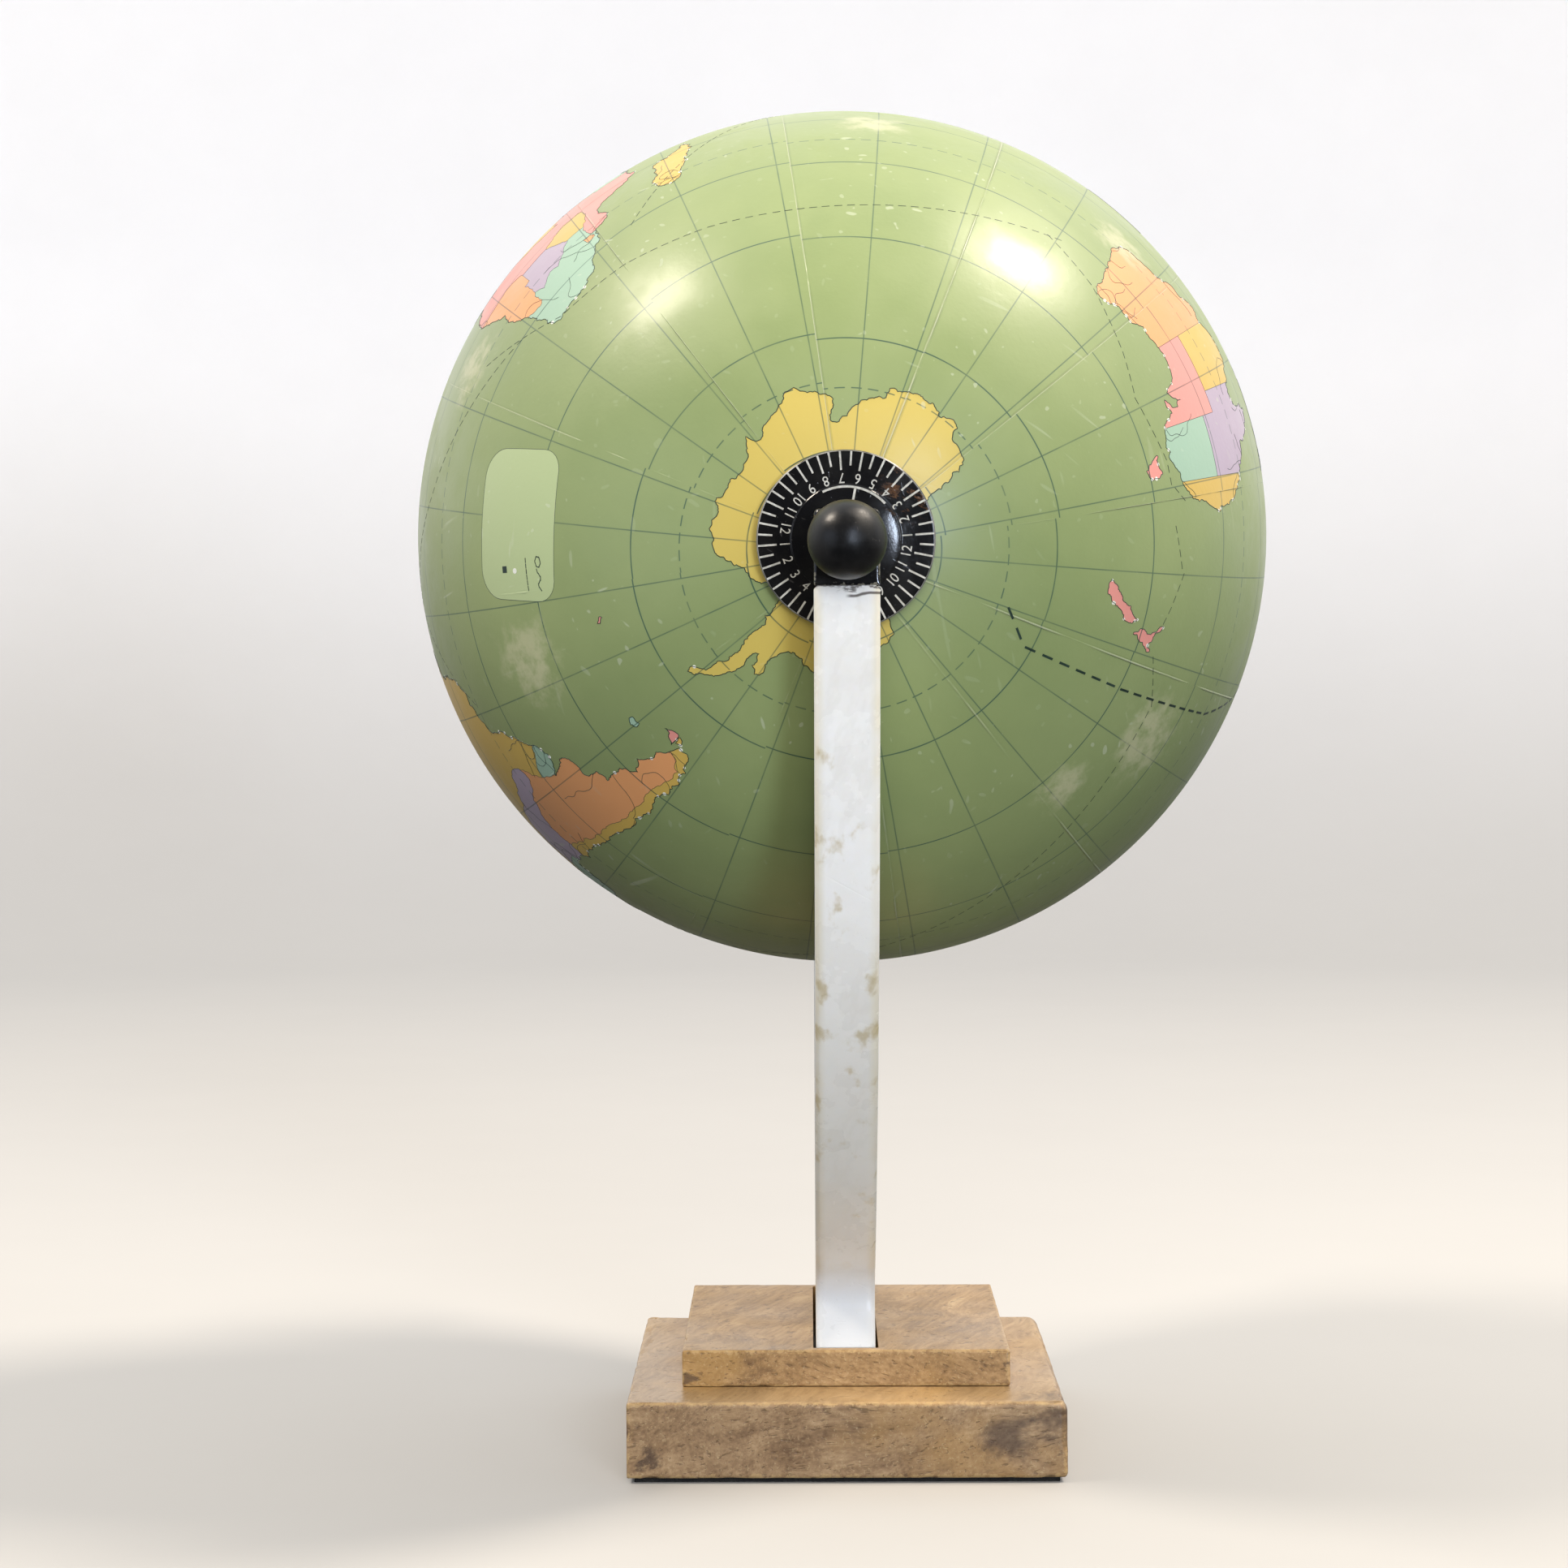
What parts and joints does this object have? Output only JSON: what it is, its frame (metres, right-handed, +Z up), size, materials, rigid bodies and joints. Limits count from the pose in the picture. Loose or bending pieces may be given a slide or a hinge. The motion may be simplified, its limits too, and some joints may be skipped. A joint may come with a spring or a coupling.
{
  "type": "desktop globe on stand",
  "caption": "Printed desktop globe turning on a level axle in a white stone crescent cradle, with black ball knobs, an hour dial and a two-tier wooden base.",
  "frame": {"origin": "on the table under the globe's centre", "axes": "+Z up, X across the stone slab, -Y towards the globe's south pole"},
  "size_m": [0.1772, 0.2354, 0.276],
  "materials": {
    "felt": "short matted felt",
    "base_wood": "satin varnish",
    "steel": "zinc plated",
    "white_stone": "polished, slightly translucent",
    "black_lacquer": "gloss lacquer",
    "black_satin": "satin moulded",
    "brass_insert": "turned",
    "washer_plastic": "natural nylon",
    "dial_black": "printed and lacquered",
    "map_print": "printed paper under gloss lacquer",
    "shell_plastic": "moulded",
    "tape_paper": "lacquered"
  },
  "bodies": {
    "stand": {"base_felt": "felt", "base_plinth": "base_wood", "base_step": "base_wood", "step_screws": "steel", "foot_studs": "steel", "foot_washers": "steel", "foot_nuts": "steel", "cradle": "white_stone", "tip_block_south": "black_lacquer", "tip_block_north": "black_lacquer", "tip_pin_south": "steel", "tip_pin_north": "steel", "axle": "steel", "knob_south": "black_satin", "knob_north": "black_satin", "knob_insert_south": "brass_insert", "knob_insert_north": "brass_insert", "thrust_washer_south": "washer_plastic", "thrust_washer_north": "washer_plastic"},
    "globe": {"globe_south": "map_print", "globe_north": "map_print", "equator_collar": "shell_plastic", "equator_tape": "tape_paper", "pole_bush_south": "shell_plastic", "pole_bush_north": "shell_plastic", "pole_spacer_north": "dial_black"},
    "dial": {"hour_dial": "dial_black"}
  },
  "joints": [
    {"name": "globe_spin", "type": "hinge", "parent": "stand", "child": "globe", "pos_m": [0, 0, 0.1874], "axis": [0, 0.9993, 0.0384], "continuous": true},
    {"name": "dial_turn", "type": "hinge", "parent": "stand", "child": "dial", "pos_m": [0, 0, 0.1874], "axis": [0, 0.9993, 0.0384], "continuous": true}
  ]
}
